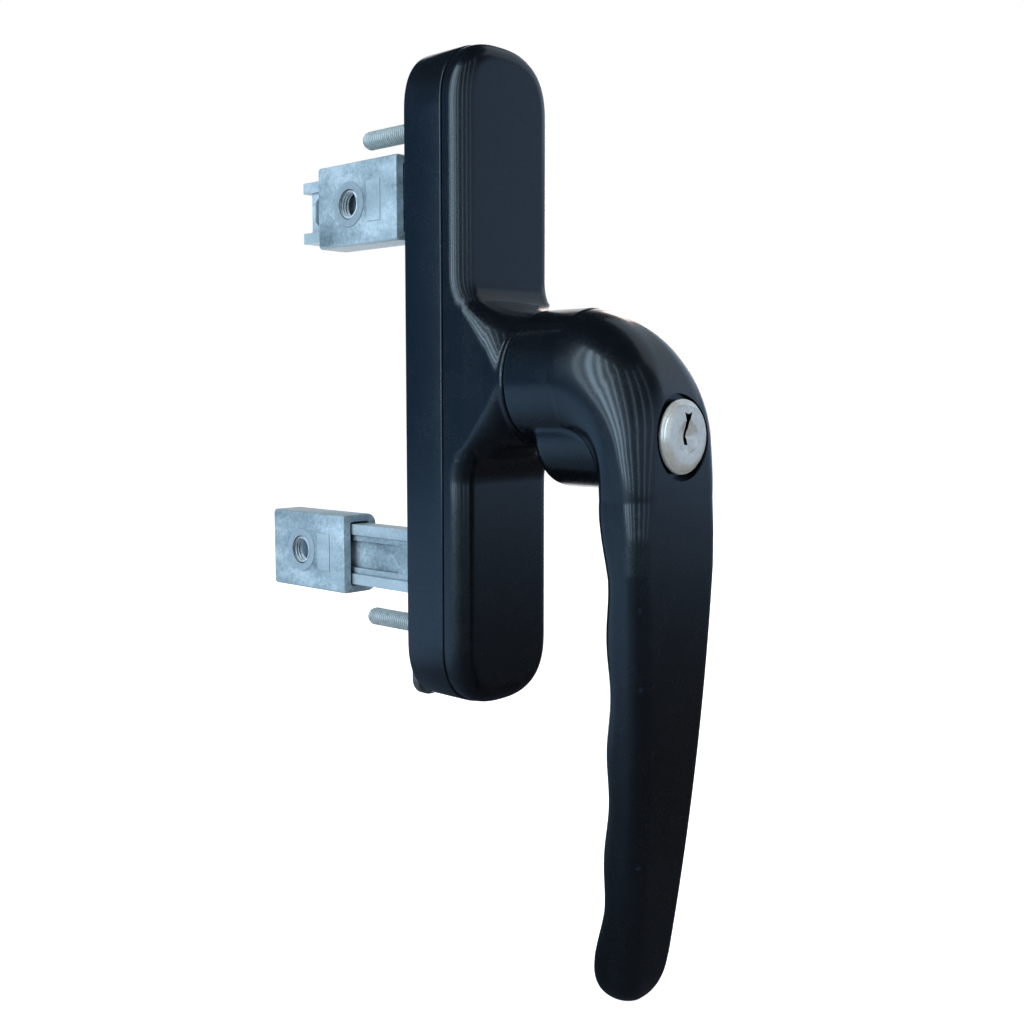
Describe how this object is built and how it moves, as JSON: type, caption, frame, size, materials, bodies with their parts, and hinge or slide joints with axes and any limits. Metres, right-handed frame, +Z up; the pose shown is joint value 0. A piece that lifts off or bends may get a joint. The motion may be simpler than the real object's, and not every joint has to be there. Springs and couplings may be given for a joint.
{
  "type": "locking shutter handle",
  "caption": "Lockable lever handle on a long flat housing; turning the lever moves rear drive arms with threaded clamp blocks towards each other.",
  "frame": {"origin": "on the spindle axis, in the plane of the rear mounting face", "axes": "+Z up along the housing, +Y to the rear out of the mounting face, +X to the right seen from the lever's side"},
  "size_m": [0.034, 0.1456, 0.23],
  "materials": {
    "paint": "semi-gloss",
    "zinc": "as cast",
    "steel": "zinc plated",
    "chrome": "satin",
    "nylon": "matt",
    "rubber": "matt"
  },
  "bodies": {
    "housing": {"base_shell": "paint", "joint_gasket": "rubber", "front_cover": "paint", "chassis": "zinc", "gear_cover": "steel", "spindle_bush": "nylon", "wave_washer": "steel", "strike_ring": "steel", "fixing_screws": "steel", "screw_washers": "steel", "cover_screws": "steel"},
    "handle": {"lever": "paint", "spindle": "steel", "pinion": "steel", "circlip": "steel", "thrust_washer": "steel", "lock_barrel": "chrome", "barrel_pin": "steel"},
    "plug": {"key_plug": "chrome", "plug_clip": "steel"},
    "bolt_pin": {"locking_pin": "steel"},
    "upper_drive": {"upper_slider": "zinc"},
    "lower_drive": {"lower_slider": "zinc"},
    "upper_clamp": {"upper_block": "zinc"},
    "lower_clamp": {"lower_block": "zinc"}
  },
  "joints": [
    {"name": "lever_turn", "type": "hinge", "parent": "housing", "child": "handle", "pos_m": [0, 0, 0], "axis": [0, 1, 0], "range_deg": [0, 90]},
    {"name": "upper_slide", "type": "slide", "parent": "housing", "child": "upper_drive", "axis": [0, 0, -1], "range_m": [0, 0.01571]},
    {"name": "lower_slide", "type": "slide", "parent": "housing", "child": "lower_drive", "axis": [0, 0, 1], "range_m": [0, 0.01571]},
    {"name": "upper_block_slide", "type": "slide", "parent": "upper_drive", "child": "upper_clamp", "axis": [0, 1, 0], "range_m": [0, 0.0235]},
    {"name": "lower_block_slide", "type": "slide", "parent": "lower_drive", "child": "lower_clamp", "axis": [0, -1, 0], "range_m": [0, 0.0235]},
    {"name": "key_turn", "type": "hinge", "parent": "handle", "child": "plug", "pos_m": [0, 0, -0.0128], "axis": [0, 1, 0], "range_deg": [0, 90]},
    {"name": "pin_slide", "type": "slide", "parent": "handle", "child": "bolt_pin", "axis": [0, 1, 0], "range_m": [0, 0.0032]}
  ],
  "couplings": [
    {"joint": "upper_slide", "follows": "lever_turn", "m_per_rad": 0.01},
    {"joint": "lower_slide", "follows": "lever_turn", "m_per_rad": 0.01},
    {"joint": "pin_slide", "follows": "key_turn", "m_per_rad": 0.002037}
  ]
}
